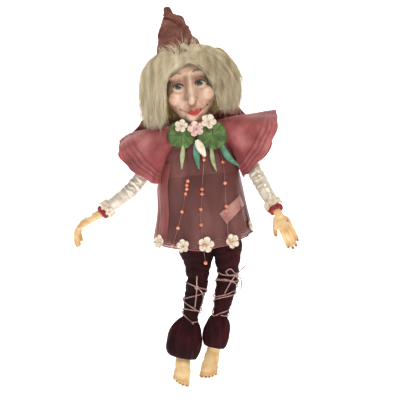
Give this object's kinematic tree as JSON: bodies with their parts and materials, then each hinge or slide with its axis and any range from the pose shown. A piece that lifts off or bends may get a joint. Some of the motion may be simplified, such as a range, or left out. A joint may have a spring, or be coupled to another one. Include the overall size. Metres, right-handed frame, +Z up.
{
  "type": "pixie art doll puppet",
  "caption": "Hanging string-puppet art doll: clay head, hands and feet on a jointed stuffed body, in a flowered tunic, velvet trousers and a pointed hat.",
  "frame": {"origin": "centre of the hanging eye on the upper back", "axes": "+Z up as the doll hangs, the doll faces -Y, +X is its left"},
  "size_m": [0.2538, 0.1029, 0.4359],
  "materials": {
    "clay": "satin",
    "ivory_clay": "satin",
    "glass_eye": "gloss",
    "mohair": "fibrous",
    "rose_suede": "matte",
    "cream_lace": "crochet",
    "cream_thread": "thread",
    "steel": "satin",
    "wood": "satin",
    "cotton": "matte",
    "plum_velvet": "velvet",
    "rose_organza": "sheer",
    "red_lining": "satin",
    "green_felt": "matte",
    "sepal_felt": "matte",
    "coral_bead": "pearl",
    "cream_satin": "satin",
    "crimson_silk": "gathered",
    "suede_lace": "matte"
  },
  "bodies": {
    "torso": {"chest_block": "wood", "torso_body": "cotton", "pelvis_block": "wood", "hip_rod": "steel", "hanging_eye": "steel", "trousers_seat": "plum_velvet", "bodice": "rose_organza", "tunic": "rose_organza", "back_cape": "red_lining", "tunic_patch": "rose_organza", "collar_leaves": "green_felt", "collar_sepals": "sepal_felt", "lace_leaf": "cream_lace", "neck_flowers": "cream_lace", "hem_flowers": "cream_lace", "bead_threads": "cream_thread", "beads": "coral_bead"},
    "neck": {"neck_post": "clay"},
    "head": {"head": "clay", "eyes": "glass_eye", "wig_cap": "mohair", "wig_locks": "mohair", "hat": "rose_suede", "hat_tufts": "cream_lace", "nod_pin": "steel"},
    "shoulder_right": {"shoulder_link_right": "wood", "flutter_sleeve_right": "rose_organza"},
    "upper_arm_right": {"upper_arm_right": "cotton", "upper_sleeve_right": "cream_satin"},
    "forearm_right": {"hand_right": "ivory_clay", "lower_sleeve_right": "cream_satin", "cuff_right": "crimson_silk", "cuff_flowers_right": "cream_lace"},
    "thigh_right": {"thigh_right": "cotton", "trouser_thigh_right": "plum_velvet"},
    "shin_right": {"foot_right": "ivory_clay", "trouser_shin_right": "plum_velvet", "flounce_right": "plum_velvet", "garter_right": "suede_lace"},
    "shoulder_left": {"shoulder_link_left": "wood", "flutter_sleeve_left": "rose_organza"},
    "upper_arm_left": {"upper_arm_left": "cotton", "upper_sleeve_left": "cream_satin"},
    "forearm_left": {"hand_left": "ivory_clay", "lower_sleeve_left": "cream_satin", "cuff_left": "crimson_silk", "cuff_flowers_left": "cream_lace"},
    "thigh_left": {"thigh_left": "cotton", "trouser_thigh_left": "plum_velvet"},
    "shin_left": {"foot_left": "ivory_clay", "trouser_shin_left": "plum_velvet", "flounce_left": "plum_velvet", "garter_left": "suede_lace"}
  },
  "joints": [
    {"name": "head_turn", "type": "hinge", "parent": "torso", "child": "neck", "pos_m": [-0.0065, -0.032, 0.0386], "axis": [-0.1908, 0, 0.9816], "range_deg": [-50, 50]},
    {"name": "head_nod", "type": "hinge", "parent": "neck", "child": "head", "pos_m": [-0.0065, -0.032, 0.0386], "axis": [0.9816, 0, 0.1908], "range_deg": [-15, 15], "deforming": ["wig_locks", "neck_flowers", "collar_leaves"]},
    {"name": "arm_swing_right", "type": "hinge", "parent": "torso", "child": "shoulder_right", "pos_m": [-0.04334, -0.032, -0.00858], "axis": [-0.9945, 0, -0.1045], "range_deg": [-35, 100], "deforming": ["flutter_sleeve_right", "back_cape"]},
    {"name": "arm_raise_right", "type": "hinge", "parent": "shoulder_right", "child": "upper_arm_right", "pos_m": [-0.04334, -0.032, -0.00858], "axis": [0, 1, 0], "range_deg": [-18, 55]},
    {"name": "elbow_right", "type": "hinge", "parent": "upper_arm_right", "child": "forearm_right", "pos_m": [-0.07425, -0.032, -0.05527], "axis": [0, 1, 0], "range_deg": [-18, 90], "deforming": ["upper_sleeve_right", "lower_sleeve_right"]},
    {"name": "hip_right", "type": "hinge", "parent": "torso", "child": "thigh_right", "pos_m": [-0.00742, -0.032, -0.09681], "axis": [-0.9945, 0, -0.1045], "range_deg": [-25, 80], "deforming": ["trousers_seat", "trouser_thigh_right", "tunic", "hem_flowers", "bead_threads", "beads", "tunic_patch"]},
    {"name": "knee_right", "type": "hinge", "parent": "thigh_right", "child": "shin_right", "pos_m": [-0.00084, -0.032, -0.15946], "axis": [1, 0, 0], "range_deg": [0, 90], "deforming": ["trouser_shin_right"]},
    {"name": "arm_swing_left", "type": "hinge", "parent": "torso", "child": "shoulder_left", "pos_m": [0.04418, -0.032, 0.00062], "axis": [-0.9945, 0, -0.1045], "range_deg": [-60, 75], "deforming": ["flutter_sleeve_left", "bodice"]},
    {"name": "arm_raise_left", "type": "hinge", "parent": "shoulder_left", "child": "upper_arm_left", "pos_m": [0.04418, -0.032, 0.00062], "axis": [-0.0507, -0.8746, 0.4822], "range_deg": [-10, 75]},
    {"name": "elbow_left", "type": "hinge", "parent": "upper_arm_left", "child": "forearm_left", "pos_m": [0.0667, -0.05775, -0.04371], "axis": [-0.9141, -0.1538, -0.3751], "range_deg": [0, 100], "deforming": ["upper_sleeve_left", "lower_sleeve_left"]},
    {"name": "hip_left", "type": "hinge", "parent": "torso", "child": "thigh_left", "pos_m": [0.02739, -0.032, -0.09315], "axis": [-0.9945, 0, -0.1045], "range_deg": [-25, 80], "deforming": ["trouser_thigh_left"]},
    {"name": "knee_left", "type": "hinge", "parent": "thigh_left", "child": "shin_left", "pos_m": [0.03397, -0.032, -0.1558], "axis": [1, 0, 0], "range_deg": [0, 90], "deforming": ["trouser_shin_left"]}
  ]
}
